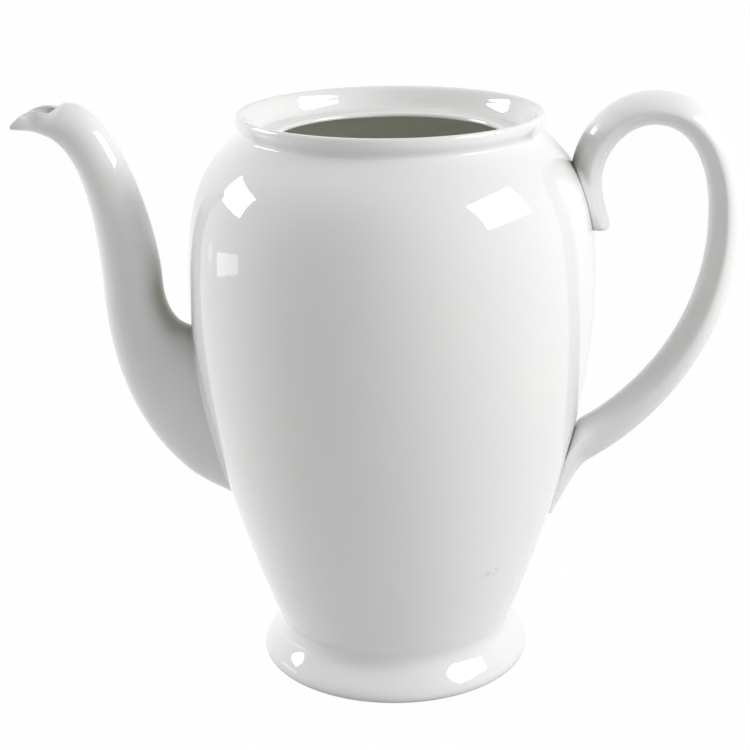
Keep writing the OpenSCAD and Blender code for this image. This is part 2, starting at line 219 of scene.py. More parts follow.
class NodeTree:
    """Short calls for making the nodes of one material or world."""

    def __init__(self, owner: bpy.types.Material | bpy.types.World, end: str) -> None:
        """Empties the owner's node tree and adds its output.

        Args:
            owner: The material or world.
            end: Type of the output node.
        """
        owner.use_nodes = True
        self.tree = owner.node_tree
        self.tree.nodes.clear()
        self.output = self.add(end)

    def add(self, kind: str, **settings: object) -> bpy.types.Node:
        """A new node with its properties set.

        Args:
            kind: The node's type.
            **settings: Its properties and their values.

        Returns:
            The node.
        """
        node = self.tree.nodes.new(kind)
        for key, value in settings.items():
            setattr(node, key, value)
        return node

    def join(self, source: bpy.types.NodeSocket, target: bpy.types.NodeSocket) -> None:
        """Links one socket to another."""
        self.tree.links.new(source, target)

    def noise(self, scale: float, detail: float, place: bpy.types.NodeSocket) -> bpy.types.NodeSocket:
        """A noise texture's value at a place.

        Args:
            scale: How fine the noise is, in lumps to the metre.
            detail: How many finer layers it has.
            place: Socket with the place.

        Returns:
            The socket with the value.
        """
        node = self.add("ShaderNodeTexNoise")
        node.inputs["Scale"].default_value = scale
        node.inputs["Detail"].default_value = detail
        self.join(place, node.inputs["Vector"])
        return node.outputs["Fac"]

    def remap(
        self,
        value: bpy.types.NodeSocket,
        low: float,
        high: float,
        to_low: float = 0.0,
        to_high: float = 1.0,
    ) -> bpy.types.NodeSocket:
        """The value stretched from one range to another and kept inside it.

        Args:
            value: Socket with the value.
            low: Value that becomes to_low.
            high: Value that becomes to_high.
            to_low: Start of the new range.
            to_high: End of the new range.

        Returns:
            The socket with the stretched value.
        """
        node = self.add("ShaderNodeMapRange", clamp=True)
        limits = {"From Min": low, "From Max": high, "To Min": to_low, "To Max": to_high}
        for key, number in limits.items():
            node.inputs[key].default_value = number
        self.join(value, node.inputs["Value"])
        return node.outputs["Result"]

    def pattern(
        self, kind: Pattern, place: bpy.types.NodeSocket, to_low: float = 0.0, to_high: float = 1.0
    ) -> bpy.types.NodeSocket:
        """A pattern's value at a place, from to_low where it is nothing to to_high where it is all."""
        noise = self.noise(kind.scale, kind.detail, place)
        return self.remap(noise, kind.low, kind.high, to_low, to_high)

    def blend(self, share: bpy.types.NodeSocket, a: object, b: object) -> bpy.types.NodeSocket:
        """Two colours mixed.

        Args:
            share: Socket with the share of the second colour.
            a: The first colour, a socket or a plain colour.
            b: The second colour, a socket or a plain colour.

        Returns:
            The socket with the mixed colour.
        """
        node = self.add("ShaderNodeMix", data_type="RGBA")
        self.join(share, node.inputs["Factor"])
        for socket, colour in ((node.inputs[6], a), (node.inputs[7], b)):
            if isinstance(colour, bpy.types.NodeSocket):
                self.join(colour, socket)
            else:
                socket.default_value = (*colour, 1.0)
        return node.outputs[2]

    def math(self, operation: str, a: object, b: object) -> bpy.types.NodeSocket:
        """Two values put together.

        Args:
            operation: What is done with them.
            a: The first value, a socket or a number.
            b: The second value, a socket or a number.

        Returns:
            The socket with the result.
        """
        node = self.add("ShaderNodeMath", operation=operation)
        for socket, value in zip(node.inputs, (a, b)):
            if isinstance(value, bpy.types.NodeSocket):
                self.join(value, socket)
            else:
                socket.default_value = value
        return node.outputs[0]

    def seen(self) -> bpy.types.NodeSocket:
        """Tells what is seen from what only lights the scene.

        Returns:
            The socket with 1 for what is seen straight, mirrored or through something clear.
        """
        path = self.add("ShaderNodeLightPath")
        mirrored = self.math("MAXIMUM", path.outputs["Is Camera Ray"], path.outputs["Is Glossy Ray"])
        return self.math("MAXIMUM", mirrored, path.outputs["Is Transmission Ray"])

    def show(self, share: bpy.types.NodeSocket, first: bpy.types.Node, second: bpy.types.Node) -> None:
        """Sends two shaders to the output, mixed.

        Args:
            share: Socket with the share of the second shader.
            first: The first shader.
            second: The second shader.
        """
        both = self.add("ShaderNodeMixShader")
        self.join(share, both.inputs["Fac"])
        self.join(first.outputs[0], both.inputs[1])
        self.join(second.outputs[0], both.inputs[2])
        self.join(both.outputs[0], self.output.inputs["Surface"])


@dataclass(frozen=True)
class Scuff:
    """A small grey rub mark on the glaze."""

    turn: float
    height: float
    radius: float

    def place(self, body: "Body") -> Vector:
        """Where the mark lies on the outside of the body, in metres."""
        a, r = math.radians(self.turn), body.radius(self.height)
        return Vector((r * math.sin(a), -r * math.cos(a), self.height)) * MM


@dataclass(frozen=True)
class Glaze:
    """Clear glaze over white porcelain, with its faint waves, specks, rub marks and painted shade in
    its corners.

    All its lengths and heights are in metres.
    """

    name: str
    white: Colour
    shade: Colour
    gloss: float
    scuffs: tuple[tuple[Vector, float], ...] = ()
    bare_under: float | None = None
    coat: float = 0.35
    coat_gloss: float = 0.02
    ior: float = 1.52
    # Painted shade: the olive grey that corners and creases are darkened towards, and how far and
    # where it spreads.
    corner_shade_colour: Colour = (0.3, 0.3, 0.235)
    corner_shade_reach: float = 0.014
    corner_shade_share: float = 1.0
    corner_shade_band: Pair = (-0.1, 0.3)
    corner_shade_fade: float = 0.008
    corner_shade_open: Pair = (0.68, 0.26)
    clouds: Pattern = Pattern(14, 3, 0.35, 0.65)
    specks: Pattern = Pattern(900, 2, 0.76, 0.8)
    speck: Colour = (0.52, 0.5, 0.46)
    speck_share: float = 0.5
    wear: Pattern = Pattern(60, 4, 0.3, 0.7)
    wear_gloss: float = 1.7
    rubs: Pattern = Pattern(700, 3, 0.48, 0.62)
    rub: Colour = (0.47, 0.47, 0.46)
    rub_share: float = 0.75
    rub_gloss: float = 0.35
    grain: Pattern = Pattern(1500, 4, 0.3, 0.7)
    clay: Colour = (0.74, 0.71, 0.66)
    clay_shade: Colour = (0.62, 0.59, 0.54)
    clay_gloss: float = 0.8
    wave_scale: float = 45.0
    wave_depth: float = 0.00012
    wave_share: float = 0.35

    def material(self) -> bpy.types.Material:
        """Makes the node material of this glaze.

        Returns:
            The new material.
        """
        made = bpy.data.materials.new(self.name)
        tree = NodeTree(made, "ShaderNodeOutputMaterial")
        shader = tree.add("ShaderNodeBsdfPrincipled")
        place = tree.add("ShaderNodeTexCoord").outputs["Object"]
        colour = tree.blend(tree.pattern(self.clouds, place), self.white, self.shade)
        split = tree.add("ShaderNodeSeparateXYZ")
        tree.join(place, split.inputs[0])
        height = split.outputs["Z"]
        # Painted shade: ambient occlusion darkens corners and creases towards an olive grey.
        colour = tree.blend(self.painted_corner_shade(tree, height), colour, self.corner_shade_colour)
        specks = tree.pattern(self.specks, place, 0.0, self.speck_share)
        colour = tree.blend(specks, colour, self.speck)
        rough = tree.pattern(self.wear, place, self.gloss, self.gloss * self.wear_gloss)
        for centre, radius in self.scuffs:
            mark = self.mark(tree, place, centre, radius)
            colour = tree.blend(mark, colour, self.rub)
            rough = tree.math("MAXIMUM", rough, tree.math("MULTIPLY", mark, self.rub_gloss))
        if self.bare_under is not None:
            bare = tree.remap(height, self.bare_under, self.bare_under * 0.5)
            clay = tree.blend(tree.pattern(self.grain, place), self.clay, self.clay_shade)
            colour = tree.blend(bare, colour, clay)
            rough = tree.math("MAXIMUM", rough, tree.math("MULTIPLY", bare, self.clay_gloss))
        tree.join(colour, shader.inputs["Base Color"])
        tree.join(rough, shader.inputs["Roughness"])
        values = {"IOR": self.ior, "Coat Weight": self.coat, "Coat Roughness": self.coat_gloss}
        for key, value in values.items():
            shader.inputs[key].default_value = value
        bump = tree.add("ShaderNodeBump")
        bump.inputs["Strength"].default_value = self.wave_share
        bump.inputs["Distance"].default_value = self.wave_depth
        tree.join(tree.noise(self.wave_scale, 1, place), bump.inputs["Height"])
        tree.join(bump.outputs["Normal"], shader.inputs["Normal"])
        tree.join(shader.outputs[0], tree.output.inputs["Surface"])
        return made

    def painted_corner_shade(self, tree: NodeTree, height: bpy.types.NodeSocket) -> bpy.types.NodeSocket:
        """How much painted shade darkens the glaze in its corners and creases, from 0 to 1.

        Args:
            tree: The node tree of the glaze.
            height: Socket with the height over the table.

        Returns:
            The socket with the share of painted shade.
        """
        nook = tree.add("ShaderNodeAmbientOcclusion", samples=6)
        nook.inputs["Distance"].default_value = self.corner_shade_reach
        deep = tree.remap(nook.outputs["AO"], *self.corner_shade_open, 0.0, self.corner_shade_share)
        (low, high), fade = self.corner_shade_band, self.corner_shade_fade
        above = tree.remap(height, low - fade, low + fade)
        below = tree.remap(height, high + fade, high - fade)
        return tree.math("MULTIPLY", deep, tree.math("MULTIPLY", above, below))

    def mark(
        self, tree: NodeTree, place: bpy.types.NodeSocket, centre: Vector, radius: float
    ) -> bpy.types.NodeSocket:
        """How strongly a rub mark shows at a place, from 0 to 1.

        Args:
            tree: The node tree of the glaze.
            place: Socket with the place on the pot.
            centre: Middle of the mark, in metres.
            radius: How far the mark reaches, in metres.

        Returns:
            The socket with the strength.
        """
        away = tree.add("ShaderNodeVectorMath", operation="DISTANCE")
        tree.join(place, away.inputs[0])
        away.inputs[1].default_value = centre
        near = tree.remap(away.outputs["Value"], radius, radius * 0.3)
        patchy = tree.math("MULTIPLY", near, tree.pattern(self.rubs, place))
        return tree.math("MULTIPLY", patchy, self.rub_share)


@dataclass(frozen=True)
class TableTop:
    """Plain pale table that looks white to the camera and keeps the pot's shadow."""

    name: str = "pale_table"
    pale: float = 0.6
    glow: float = 0.985

    def material(self) -> bpy.types.Material:
        """Makes the node material of the table.

        Returns:
            The new material.
        """
        made = bpy.data.materials.new(self.name)
        tree = NodeTree(made, "ShaderNodeOutputMaterial")
        cloth = tree.add("ShaderNodeBsdfDiffuse")
        cloth.inputs["Color"].default_value = (self.pale, self.pale, self.pale, 1)
        light = tree.add("ShaderNodeEmission")
        light.inputs["Color"].default_value = (1, 1, 1, 1)
        tree.show(tree.math("MULTIPLY", tree.seen(), self.glow), cloth, light)
        return made


class Slot(Enum):
    """The record's material slots."""

    GLAZE = "glaze"
    FOOT = "foot_glaze"
    SLIP = "slip"


class Piece:
    """What every piece of the pot shares: a finish, the nodes it stands for and its ride."""

    crease: float | None = None

    def dress(
        self, piece: bpy.types.Object, finish: bpy.types.Material, slot: Slot, *nodes: str
    ) -> bpy.types.Object:
        """Marks a piece's sharp edges, gives it its finish and ties it to the frame.

        Args:
            piece: The object to dress.
            finish: Its material.
            slot: The record's slot that the finish belongs to; not used.
            *nodes: Names of the solids that the piece stands for.

        Returns:
            The same object.
        """
        if self.crease is not None:
            piece.data.set_sharp_from_angle(angle=math.radians(self.crease))
        piece.data.materials.clear()
        piece.data.materials.append(finish)
        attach(piece, "root")
        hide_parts(*nodes)
        log.info("%s: %d faces, for %s", piece.name, len(piece.data.polygons), ", ".join(nodes))
        return piece


# --- body --------------------------------------------------------------------------------


@dataclass
class Body(Piece):
    """The thrown body: a curved flank and shoulder over a flat floor."""

    belly_r: float = 60.8
    belly_z: float = 118.4
    waist_r: float = 36.2
    waist_z: float = 11.5
    neck_r: float = 44.4
    neck_z: float = 165.9
    wall: float = 3.2
    floor_t: float = 4.0
    floor_blend: float = 9.0
    flank_pull: float = 46.0
    belly_pull: float = 35.4
    neck_pull: float = 12.0
    neck_slope: float = 47.0
    waist_pull: float = 0.6
    waist_angle: float = 68.0
    blend_lean: Pair = (0.18, 0.5)
    blend_pull: float = 0.35
    hole_r: float = 8.5
    hole_z: float = 75.15
    hole_reach: Pair = (10.0, 20.0)
    hole_segments: int = 64
    tuck: float = 0.35
    crease: float = 40.0
    curve_steps: int = 90
    segments: int = 288
    flank: Cubic = field(init=False)
    shoulder: Cubic = field(init=False)
    rows: list[Vector] = field(init=False)
    heights: list[float] = field(init=False)

    def __post_init__(self) -> None:
        """Works out the two outline curves and the table of radii."""
        waist = Vector((self.waist_r, self.waist_z))
        belly = Vector((self.belly_r, self.belly_z))
        neck = Vector((self.neck_r, self.neck_z))
        rise = waist + self.waist_pull * polar(self.waist_angle)
        self.flank = cubic(waist, rise, belly - Vector((0, self.flank_pull)), belly)
        turn = neck - self.neck_pull * polar(180 - self.neck_slope)
        self.shoulder = cubic(belly, belly + Vector((0, self.belly_pull)), turn, neck)
        self.rows = steps(self.flank, 200) + steps(self.shoulder, 200, 1)
        self.heights = [p.y for p in self.rows]

    def radius(self, z: float) -> float:
        """Radius of the outside of the body.

        Args:
            z: Height over the table.

        Returns:
            The radius there.
        """
        i = min(max(bisect_left(self.heights, z), 1), len(self.rows) - 1)
        a, b = self.rows[i - 1], self.rows[i]
        share = min(max((z - a.y) / (b.y - a.y), 0.0), 1.0)
        return a.x + (b.x - a.x) * share

    def rise(self, z: float) -> Vector:
        """Direction of the outside of the body at height z, upwards."""
        return Vector((self.radius(z + 0.3) - self.radius(z - 0.3), 0.6)).normalized()

    def skin_x(self, y: float, z: float, off: float) -> float:
        """Distance from the middle plane to a surface off the body, at (y, z)."""
        return math.sqrt(max((self.radius(z) + off) ** 2 - y * y, 0.0))

    def inner(self, curve: Cubic, t: float) -> Vector:
        """Point on the inside of the wall."""
        way = curve.slope(t).normalized()
        return curve.at(t) + self.wall * Vector((-way.y, way.x))

    def line(self) -> list[Vector]:
        """The profile from the axis under the floor, round the wall, to the axis over the floor.

        Returns:
            The profile points as (radius, height).
        """
        n = self.curve_steps
        outside = steps(self.flank, n) + steps(self.shoulder, n, 1)
        top = outside[-1] + self.tuck * (outside[-1] - outside[-2]).normalized()
        inside = [self.inner(c, i / n) for c in (self.shoulder, self.flank) for i in range(n, 0, -1)]
        floor_z = self.waist_z + self.floor_t
        blend_top = floor_z + self.floor_blend
        wall_line = [p for p in inside if p.y > blend_top + 0.5]
        corner = min(inside, key=lambda p: abs(p.y - floor_z)).x
        meet = min(inside, key=lambda p: abs(p.y - blend_top))
        lean = self.floor_blend * Vector(self.blend_lean)
        blend = cubic(
            meet,
            meet - lean,
            Vector((corner - self.blend_pull * self.floor_blend, floor_z)),
            Vector((corner - self.floor_blend, floor_z)),
        )
        floor = [Vector((0, floor_z))]
        return [Vector((0, self.waist_z))] + outside + [top] + wall_line + steps(blend, 16) + floor

    def build(self, finish: bpy.types.Material, inside: bpy.types.Material) -> bpy.types.Object:
        """Turns the body, cuts the pouring hole and dresses it.

        Args:
            finish: The glaze outside.
            inside: The duller glaze inside.

        Returns:
            The body.
        """
        piece = turned("pot_body", self.line(), self.segments, False)
        self.cut_hole(piece)
        self.dress(piece, finish, Slot.GLAZE, "body")
        piece.data.materials.append(inside)
        for face in piece.data.polygons:
            centre = face.center / MM
            deep = math.hypot(centre.x, centre.y) < self.radius(centre.z) - 0.6 * self.wall
            face.material_index = int(deep and centre.z > self.waist_z + 1)
        return piece

    def cut_hole(self, piece: bpy.types.Object) -> None:
        """Cuts the pouring hole through the wall behind the spout.

        Args:
            piece: The body without its hole.
        """
        turns = [2 * math.pi * i / self.hole_segments for i in range(self.hole_segments)]
        outline = [self.hole_r * Vector((math.cos(a), math.sin(a))) for a in turns]
        out, inner = self.hole_reach
        rings = [
            [Vector((x, p.x, self.hole_z + p.y)) for p in outline]
            for x in (-self.belly_r - out, -inner)
        ]
        drill = skin("drill", rounded_end(rings[0], 1) + rings + rounded_end(rings[1], 1), False)
        cut = piece.modifiers.new("pouring_hole", "BOOLEAN")
        cut.object = drill
        cut.operation = "DIFFERENCE"
        cut.solver = "EXACT"
        bpy.context.view_layer.update()
        ready = piece.evaluated_get(bpy.context.evaluated_depsgraph_get())
        made = bpy.data.meshes.new_from_object(ready)
        piece.modifiers.clear()
        piece.data = made
        bpy.data.objects.remove(drill)


# --- rim ---------------------------------------------------------------------------------


@dataclass
class Rim(Piece):
    """The collar with its rounded lip and the ledge inside that carries a lid."""

    body: Body
    collar_h: float = 5.6
    neck_pull: Pair = (-0.5, 1.2)
    wave_pull: float = 1.6
    lip_out: float = 0.75
    lip_t: float = 2.0
    lip_round: float = 2.0
    lip_pulls: Pair = (1.3, 0.7)
    crown_share: float = 0.55
    gallery_drop: float = 6.5
    ledge_r: float = 38.6
    throat_r: float = 33.0
    throat_edge_r: float = 1.1
    throat_lean: float = 0.15
    ledge_t: float = 2.7
    ledge_lip: float = 0.3
    knee_r: float = 41.6
    knee_z: float = 168.7
    knee_lean: float = 124.0
    upper_pulls: Pair = (1.4, 0.5)
    cove_pulls: Pair = (0.8, 1.6)
    crease: float = 50.0
    segments: int = 288

    def outside(self) -> list[Vector]:
        """The wave of the collar and the rounding of the lip, up to the crown.

        Returns:
            The profile points as (radius, height).
        """
        neck = Vector((self.body.neck_r, self.body.neck_z))
        side = Vector((neck.x + self.lip_out, neck.y + self.collar_h - self.lip_round))
        crown = self.crown()
        wave = cubic(neck, neck + Vector(self.neck_pull), side - Vector((0, self.wave_pull)), side)
        up, over = self.lip_pulls
        lip = cubic(side, side + Vector((0, up)), crown + Vector((over, 0)), crown)
        tucked = neck + self.body.tuck * polar(-self.body.neck_slope)
        return [tucked] + steps(wave, 16) + steps(lip, 12, 1)

    def crown(self) -> Vector:
        """Highest point of the lip."""
        lip_r = self.body.neck_r + self.lip_out
        return Vector((lip_r - self.lip_t * self.crown_share, self.body.neck_z + self.collar_h))

    def inside(self) -> list[Vector]:
        """The gallery from the crown down to the ledge, and the throat's rounded edge.

        Returns:
            The profile points as (radius, height).
        """
        crown, knee = self.crown(), Vector((self.knee_r, self.knee_z))
        ledge = Vector((self.ledge_r, crown.y - self.gallery_drop))
        down = polar(-self.knee_lean)
        roll, fall = self.upper_pulls
        upper = cubic(crown, crown - Vector((roll, 0)), knee - fall * down, knee)
        fall, flat = self.cove_pulls
        cove = cubic(knee, knee + fall * down, ledge + Vector((flat, 0)), ledge)
        edge = Vector((self.throat_r + self.throat_edge_r, ledge.y - self.throat_edge_r))
        turn = [edge + self.throat_edge_r * polar(a) for a in range(90, 181, 9)]
        under = Vector((self.throat_r + self.throat_lean, edge.y - self.ledge_lip))
        foot = Vector((self.ledge_r, ledge.y - self.ledge_t))
        return steps(upper, 14, 1) + steps(cove, 16, 1) + turn + [under, foot]

    def build(self, finish: bpy.types.Material) -> bpy.types.Object:
        """Turns the rim and dresses it.

        Args:
            finish: The glaze.

        Returns:
            The rim.
        """
        seam = self.body.inner(self.body.shoulder, 1.0)
        piece = turned("pot_rim", self.outside() + self.inside() + [seam], self.segments, True)
        return self.dress(piece, finish, Slot.GLAZE, "rim")


# --- foot --------------------------------------------------------------------------------


@dataclass
class FootRing(Piece):
    """The flared foot, hollow underneath, standing on a bare ring."""

    body: Body
    foot_r: float = 41.9
    edge_z: float = 0.9
    edge_r: float = 0.8
    contact_w: float = 3.6
    well_h: float = 3.4
    well_edge: float = 0.4
    top_w: float = 3.8
    top_edge: float = 2.0
    flank_pulls: Pair = (3.7, 3.7)
    flank_lean: float = 0.1
    hollow_h: float = 2.2
    hollow_share: float = 0.3
    hollow_pulls: Pair = (2.4, 1.7)
    overlap: float = 0.02
    flank_steps: int = 30
    crease: float = 50.0
    segments: int = 288

    def outside(self) -> list[Vector]:
        """The hollow that runs down from the body, and the flank that flares to the edge.

        Returns:
            The profile points as (radius, height).
        """
        top = Vector((self.body.waist_r, self.body.waist_z))
        edge = Vector((self.foot_r, self.edge_z))
        fall, rise = self.flank_pulls
        flank = cubic(top, top - Vector((0, fall)), edge + Vector((-self.flank_lean, rise)), edge)
        above = top.y + self.hollow_h
        high = Vector((self.body.radius(above) - self.overlap, above))
        low, way = flank.at(self.hollow_share), flank.slope(self.hollow_share).normalized()
        start, end = self.hollow_pulls
        hollow = cubic(high, high - start * self.body.rise(above), low - end * way, low)
        first = round(self.hollow_share * self.flank_steps) + 1
        return steps(hollow, 14) + steps(flank, self.flank_steps, first)

    def underside(self) -> list[Vector]:
        """The rounded edge, the bare contact ring, the well and the joint with the body.

        Returns:
            The profile points as (radius, height).
        """
        out = self.foot_r - self.edge_r
        well_r = out - self.contact_w
        turns = [polar(a) for a in range(-9, -90, -9)]
        edge = [Vector((out + self.edge_r * way.x, self.edge_z * (1 + way.y))) for way in turns]
        floor = [Vector((out, 0)), Vector((well_r + self.well_edge, 0))]
        well = [Vector((well_r, self.well_edge)), Vector((well_r, self.well_h))]
        joint_r, joint_z = self.body.waist_r - self.top_w, self.body.waist_z
        joint = [Vector((joint_r, joint_z - self.top_edge)), Vector((joint_r, joint_z))]
        return edge + floor + well + joint

    def build(self, finish: bpy.types.Material) -> bpy.types.Object:
        """Turns the foot and dresses it."""
        piece = turned("pot_foot", self.outside() + self.underside(), self.segments, True)
        return self.dress(piece, finish, Slot.FOOT, "foot_ring")


# --- spout -------------------------------------------------------------------------------


class Side(Enum):
    """The two faces of a wall."""

    OUTSIDE = 0
    INSIDE = 1


@dataclass
class Spout(Piece):
    """The hollow S-curved spout with its cut pouring lip.

    Places along the tube run from 0 at the root over 1 and 2, where the rails have their
    joints, to 3 at the tip.
    """

    body: Body
    root_low: float = 48.7
    root_high: float = 103.6
    root_w: float = 25.0
    low_angle: float = 20.0
    low_pull: float = 9.5
    high_angle: float = 12.0
    high_pull: float = 7.5
    gap: float = 9.7
    mid_d: float = 18.2
    mid_w: float = 16.0
    mid_z: float = 120.0
    mid_tilt: float = 2.0
    reach: float = 53.1
    mouth_z: float = 173.1
    mouth_l: float = 17.6
    mouth_d: float = 12.0
    mouth_w: float = 12.4
    mouth_lean: float = -59.0
    mouth_flare: float = 1.35
    cut_angle: float = 66.0
    cut_end: float = 92.0
    cut_top: Pair = (2.08, 0.1)
    cut_side: Pair = (2.18, 0.82)
    tip_d: float = 3.1
    tip_w: float = 3.0
    tip_drop: float = 5.2
    wall: float = 2.8
    lip_wall: float = 1.3
    lip_bulge: float = 0.85
    lip_rings: int = 7
    bevel: float = 0.02
    least_bore: float = 0.3
    sunk: float = -0.25
    seat: float = 0.74
    settle: float = 0.35
    free_from: float = 0.9
    stretch_from: float = 1.5
    top_share: float = 0.3125
    side_share: float = 0.375
    columns: int = 128
    steps_each: tuple[int, int, int] = (44, 44, 60)
    upper: Rail = field(init=False)
    lower: Rail = field(init=False)

    def __post_init__(self) -> None:
        """Works out the rails along the top and the underside of the tube."""
        mid_in = Vector((self.body.belly_r + self.gap, self.mid_z))
        mid_out = mid_in + Vector((self.mid_d, -self.mid_tilt))
        mouth_in = Vector((self.body.belly_r + self.reach - self.mouth_l, self.mouth_z))
        mouth_out = mouth_in + self.mouth_d * polar(self.mouth_lean)
        tip_in = Vector((self.body.belly_r + self.reach, self.mouth_z - self.tip_drop))
        tip_out = tip_in - Vector((0.1, self.tip_d))
        low = Vector((self.body.radius(self.root_low) + self.seat, self.root_low))
        high = Vector((self.body.radius(self.root_high) + self.seat, self.root_high))
        # The two handles of each stretch stand beside the ends that they bend.
        rise = self.high_pull * polar(self.high_angle)
        run = self.low_pull * polar(self.low_angle)
        self.upper = Rail((
            cubic(high, high + rise, mid_in - Vector((0, 8)), mid_in),
            cubic(mid_in, mid_in + Vector((0.9, 18)), mouth_in - Vector((13.6, 0.2)), mouth_in),
            cubic(mouth_in, mouth_in + Vector((1.5, -0.1)), tip_in + Vector((-7.2, 14.6)), tip_in),
        ))
        self.lower = Rail((
            cubic(low, low + run, mid_out - Vector((0.6, 51)), mid_out),
            cubic(mid_out, mid_out + Vector((1.3, 30.5)), mouth_out - 7.5 * polar(28), mouth_out),
            cubic(mouth_out, mouth_out + 5.4 * polar(21), tip_out + Vector((-7.6, -0.4)), tip_out),
        ))

    def half_width(self, t: float) -> float:
        """Half of the width of the tube.

        Args:
            t: Place along the tube.

        Returns:
            Half of the width there.
        """
        if t < 1:
            return (self.root_w + (self.mid_w - self.root_w) * ease(t) ** 0.8) / 2
        if t < 2:
            return (self.mid_w + (self.mouth_w - self.mid_w) * ease(t - 1)) / 2
        flare = self.mouth_flare * math.sin(math.pi * (t - 2)) ** 2
        return (self.mouth_w + (self.tip_w - self.mouth_w) * (t - 2) ** 1.7) / 2 + flare

    def wall_at(self, t: float) -> float:
        """Wall thickness along the tube."""
        return self.wall + (self.lip_wall - self.wall) * ease(t / 2.2)

    def mouth_end(self, angle: float) -> float:
        """Where the wall ends: early at the top, at the tip underneath.

        Args:
            angle: Angle round the tube, in degrees from its top.

        Returns:
            The place along the tube.
        """
        u = min(angle, 360 - angle)
        if u < self.cut_angle:
            start, fall = self.cut_top
            return start + fall * (u / self.cut_angle) ** 2
        if u < self.cut_end:
            start, fall = self.cut_side
            return start + fall * ((u - self.cut_angle) / (self.cut_end - self.cut_angle)) ** 1.2
        return 3.0

    def column_angle(self, j: int) -> float:
        """Angle of one column; they lie close together where the side walls end.

        Args:
            j: Number of the column.

        Returns:
            The angle in degrees from the top.
        """
        k, top, side = 2 * j / self.columns, self.top_share, self.side_share
        if k > 1:
            return 360 - self.column_angle(self.columns - j)
        if k <= top:
            return self.cut_angle * k / top
        if k <= top + side:
            return self.cut_angle + (90 - self.cut_angle) * (k - top) / side
        return 90 + 90 * (k - top - side) / top

    def point(self, t: float, angle: float, side: Side) -> Vector:
        """Point on the outside or the inside of the tube.

        Args:
            t: Place along the tube.
            angle: Angle round the tube, in degrees from its top.
            side: The face of the wall.

        Returns:
            The point in millimetres.
        """
        high, low = self.upper.at(t), self.lower.at(t)
        middle, half = (high + low) / 2, (high - low).length / 2
        up = (high - low) / (2 * half)
        off = side.value * self.wall_at(t)
        tall = max(half - off, self.least_bore * half)
        wide = max(self.half_width(t) - off, self.least_bore * self.half_width(t))
        q = middle + tall * math.cos(math.radians(angle)) * up
        y = wide * math.sin(math.radians(angle))
        on_body = self.body.skin_x(y, q.y, self.sunk)
        pull = max(0.0, 1 - t / self.settle) ** 2
        x = q.x + (on_body - q.x) * pull
        return Vector((-max(x, on_body if t < self.free_from else 0.0), y, q.y))

    def ring(self, t: float, side: Side, back: float) -> Ring:
        """One ring, stretched so that every column ends where its wall does.

        Args:
            t: Place along the tube.
            side: The face of the wall.
            back: How much short of the wall's end the last ring stays.

        Returns:
            The ring.
        """
        points, free = [], self.stretch_from
        for j in range(self.columns):
            angle = self.column_angle(j)
            end = self.mouth_end(angle) - back
            place = t if t < free else free + (t - free) * (end - free) / (3 - free)
            points.append(self.point(place, angle, side))
        return points

    def lip(self) -> list[Ring]:
        """Rings round the edge of the mouth.

        Returns:
            The rings, from the outside to the inside.
        """
        rings: list[Ring] = [[] for _ in range(self.lip_rings)]
        for j in range(self.columns):
            angle = self.column_angle(j)
            end = self.mouth_end(angle)
            outer = self.point(end, angle, Side.OUTSIDE)
            inner = self.point(end - self.bevel, angle, Side.INSIDE)
            before = self.point(end - 0.08, angle, Side.OUTSIDE)
            middle, half = (outer + inner) / 2, (outer - inner).length / 2
            ahead = (outer - before).normalized() * half * self.lip_bulge
            for k, points in enumerate(rings):
                turn = math.pi * (k + 1) / (len(rings) + 1)
                points.append(middle + (outer - middle) * math.cos(turn) + ahead * math.sin(turn))
        return rings

    def build(self, finish: bpy.types.Material) -> bpy.types.Object:
        """Sweeps the spout and dresses it.

        Args:
            finish: The glaze.

        Returns:
            The spout.
        """
        places = [i + k / n for i, n in enumerate(self.steps_each) for k in range(n)] + [3.0]
        outside = [self.ring(t, Side.OUTSIDE, 0) for t in places]
        inside = [self.ring(t, Side.INSIDE, self.bevel) for t in reversed(places)]
        piece = skin("pot_spout", outside + self.lip() + inside, True)
        return self.dress(piece, finish, Slot.GLAZE, "spout")


@dataclass
class SpoutBead(Piece):
    """The glaze and slip that fill the corner where the spout leaves the body."""

    spout: Spout
    reach: float = 2.0
    step: float = 0.004
    feather: float = 0.02
    depth: float = 1.2
    crease: float = 35.0
    columns: int = 128
    arc_steps: int = 12

    def build(self, finish: bpy.types.Material) -> bpy.types.Object:
        """Sweeps the hollow-sided bead round the root and dresses it.

        Args:
            finish: The glazed slip.

        Returns:
            The bead.
        """
        rings = [self.section(360 * j / self.columns) for j in range(self.columns)]
        piece = skin("pot_spout_joint", rings, True)
        return self.dress(piece, finish, Slot.SLIP, "spout_slip")

    def section(self, angle: float) -> Ring:
        """One section of the bead: a hollow curve outside and a corner inside.

        Args:
            angle: Angle round the spout, in degrees from its top.

        Returns:
            The outline of the section.
        """
        body, tube = self.spout.body, self.spout
        root = tube.point(0, angle, Side.OUTSIDE)
        t = 0.0
        while (tube.point(t, angle, Side.OUTSIDE) - root).length < self.reach and t < 0.5:
            t += self.step
        on_tube = tube.point(t, angle, Side.OUTSIDE)
        up_tube = (tube.point(t + 0.01, angle, Side.OUTSIDE) - on_tube).normalized()
        z_mid = (tube.root_low + tube.root_high) / 2
        away = Vector((0, root.y, root.z - z_mid)).normalized()

        def on_skin(reach: float, off: float) -> Vector:
            """Point of the body's skin.

            Args:
                reach: How far out from the root.
                off: How far over the skin.

            Returns:
                The point in millimetres.
            """
            y, z = root.y + away.y * reach, root.z + away.z * reach
            return Vector((-body.skin_x(y, z, off), y, z))

        corner = on_skin(0, 0)
        on_body = on_skin(self.reach, -self.feather)
        along = (on_body - on_skin(self.reach - 0.2, -self.feather)).normalized()
        bend = 0.5 * self.reach
        hollow = cubic(on_body, on_body - bend * along, on_tube - bend * up_tube, on_tube)
        curve = steps(hollow, self.arc_steps)
        behind = Vector((self.depth, 0, 0))
        return curve + [on_tube + behind, corner + behind, on_body + behind]


# --- handle ------------------------------------------------------------------------------


